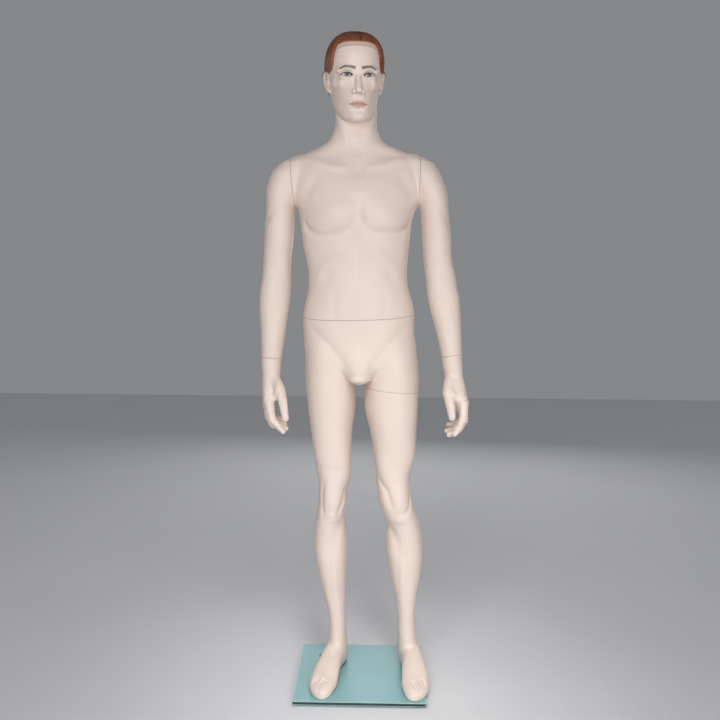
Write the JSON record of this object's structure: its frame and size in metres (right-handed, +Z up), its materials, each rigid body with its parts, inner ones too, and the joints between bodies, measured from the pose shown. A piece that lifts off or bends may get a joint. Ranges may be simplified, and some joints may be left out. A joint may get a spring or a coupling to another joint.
{
  "type": "male display mannequin",
  "caption": "Full-height male display mannequin with moulded hair and take-apart arms, hands, torso and leg, standing on a square glass base.",
  "frame": {"origin": "centre of the glass base on the floor", "axes": "+Z up through the figure, the figure faces -Y, its left hand is on +X"},
  "size_m": [0.5996, 0.38, 1.896],
  "materials": {
    "skin_paint": "satin skin-tone paint on fibreglass",
    "joint_board": "sealed board",
    "steel_fitting": "brushed",
    "zinc_fastener": "zinc plated",
    "black_steel": "black powder coat",
    "rubber_foot": "matte",
    "frosted_glass": "back-frosted tempered glass, polished edges"
  },
  "bodies": {
    "base": {"glass_base": "frosted_glass", "bumper_front_right": "rubber_foot", "bumper_front_left": "rubber_foot", "bumper_rear_right": "rubber_foot", "bumper_rear_left": "rubber_foot", "foot_rod_plate": "black_steel", "foot_rod": "steel_fitting", "plate_bolt_outer": "black_steel", "plate_bolt_inner": "black_steel", "base_washer_outer": "zinc_fastener", "base_washer_inner": "zinc_fastener", "base_nut_outer": "zinc_fastener", "base_nut_inner": "zinc_fastener"},
    "lower_body": {"lower_body_shell": "skin_paint", "foot_rod_socket": "steel_fitting", "waist_disc_lower": "joint_board", "waist_spigot_flange": "steel_fitting", "waist_spigot": "steel_fitting", "spigot_screw_1": "zinc_fastener", "spigot_screw_2": "zinc_fastener", "spigot_screw_3": "zinc_fastener", "thigh_disc_upper": "joint_board", "thigh_socket": "steel_fitting"},
    "left_leg": {"left_leg_shell": "skin_paint", "thigh_disc_lower": "joint_board", "thigh_peg": "steel_fitting"},
    "upper_body": {"upper_body_shell": "skin_paint", "waist_disc_upper": "joint_board", "waist_socket": "steel_fitting", "right_shoulder_disc": "joint_board", "right_shoulder_socket": "steel_fitting", "left_shoulder_disc": "joint_board", "left_shoulder_socket": "steel_fitting"},
    "right_shoulder_fitting": {"right_shoulder_peg": "steel_fitting"},
    "right_arm": {"right_arm_shell": "skin_paint", "right_arm_disc": "joint_board", "right_arm_hub": "steel_fitting", "right_hub_screw_1": "zinc_fastener", "right_hub_screw_2": "zinc_fastener", "right_wrist_disc": "joint_board", "right_wrist_socket": "steel_fitting"},
    "right_wrist_fitting": {"right_wrist_peg": "steel_fitting"},
    "right_hand": {"right_hand_shell": "skin_paint", "right_hand_disc": "joint_board"},
    "left_shoulder_fitting": {"left_shoulder_peg": "steel_fitting"},
    "left_arm": {"left_arm_shell": "skin_paint", "left_arm_disc": "joint_board", "left_arm_hub": "steel_fitting", "left_hub_screw_1": "zinc_fastener", "left_hub_screw_2": "zinc_fastener", "left_wrist_disc": "joint_board", "left_wrist_socket": "steel_fitting"},
    "left_wrist_fitting": {"left_wrist_peg": "steel_fitting"},
    "left_hand": {"left_hand_shell": "skin_paint", "left_hand_disc": "joint_board"}
  },
  "joints": [
    {"name": "body_lift", "type": "slide", "parent": "base", "child": "lower_body", "axis": [0, 0, 1], "range_m": [0, 0.08]},
    {"name": "left_leg_release", "type": "slide", "parent": "lower_body", "child": "left_leg", "axis": [0, 0, -1], "range_m": [0, 0.08]},
    {"name": "upper_body_lift", "type": "slide", "parent": "lower_body", "child": "upper_body", "axis": [-0.0298, -0.124, 0.9918], "range_m": [0, 0.075]},
    {"name": "right_arm_release", "type": "slide", "parent": "upper_body", "child": "right_shoulder_fitting", "axis": [-0.995, 0, -0.0995], "range_m": [0, 0.058]},
    {"name": "right_arm_turn", "type": "hinge", "parent": "right_shoulder_fitting", "child": "right_arm", "pos_m": [-0.204, 0.008, 1.472], "axis": [-0.995, 0, -0.0995], "continuous": true},
    {"name": "right_hand_release", "type": "slide", "parent": "right_arm", "child": "right_wrist_fitting", "axis": [-0.06, -0.134, -0.9892], "range_m": [0, 0.038]},
    {"name": "right_hand_turn", "type": "hinge", "parent": "right_wrist_fitting", "child": "right_hand", "pos_m": [-0.262, -0.039, 0.968], "axis": [-0.06, -0.134, -0.9892], "continuous": true},
    {"name": "left_arm_release", "type": "slide", "parent": "upper_body", "child": "left_shoulder_fitting", "axis": [0.9997, 0, -0.024], "range_m": [0, 0.058]},
    {"name": "left_arm_turn", "type": "hinge", "parent": "left_shoulder_fitting", "child": "left_arm", "pos_m": [0.1555, 0.008, 1.478], "axis": [0.9997, 0, -0.024], "continuous": true},
    {"name": "left_hand_release", "type": "slide", "parent": "left_arm", "child": "left_wrist_fitting", "axis": [0.147, -0.133, -0.9801], "range_m": [0, 0.038]},
    {"name": "left_hand_turn", "type": "hinge", "parent": "left_wrist_fitting", "child": "left_hand", "pos_m": [0.2555, -0.039, 0.98], "axis": [0.147, -0.133, -0.9801], "continuous": true}
  ],
  "couplings": [
    {"joint": "left_leg_release", "follows": "body_lift", "ratio": 1}
  ]
}
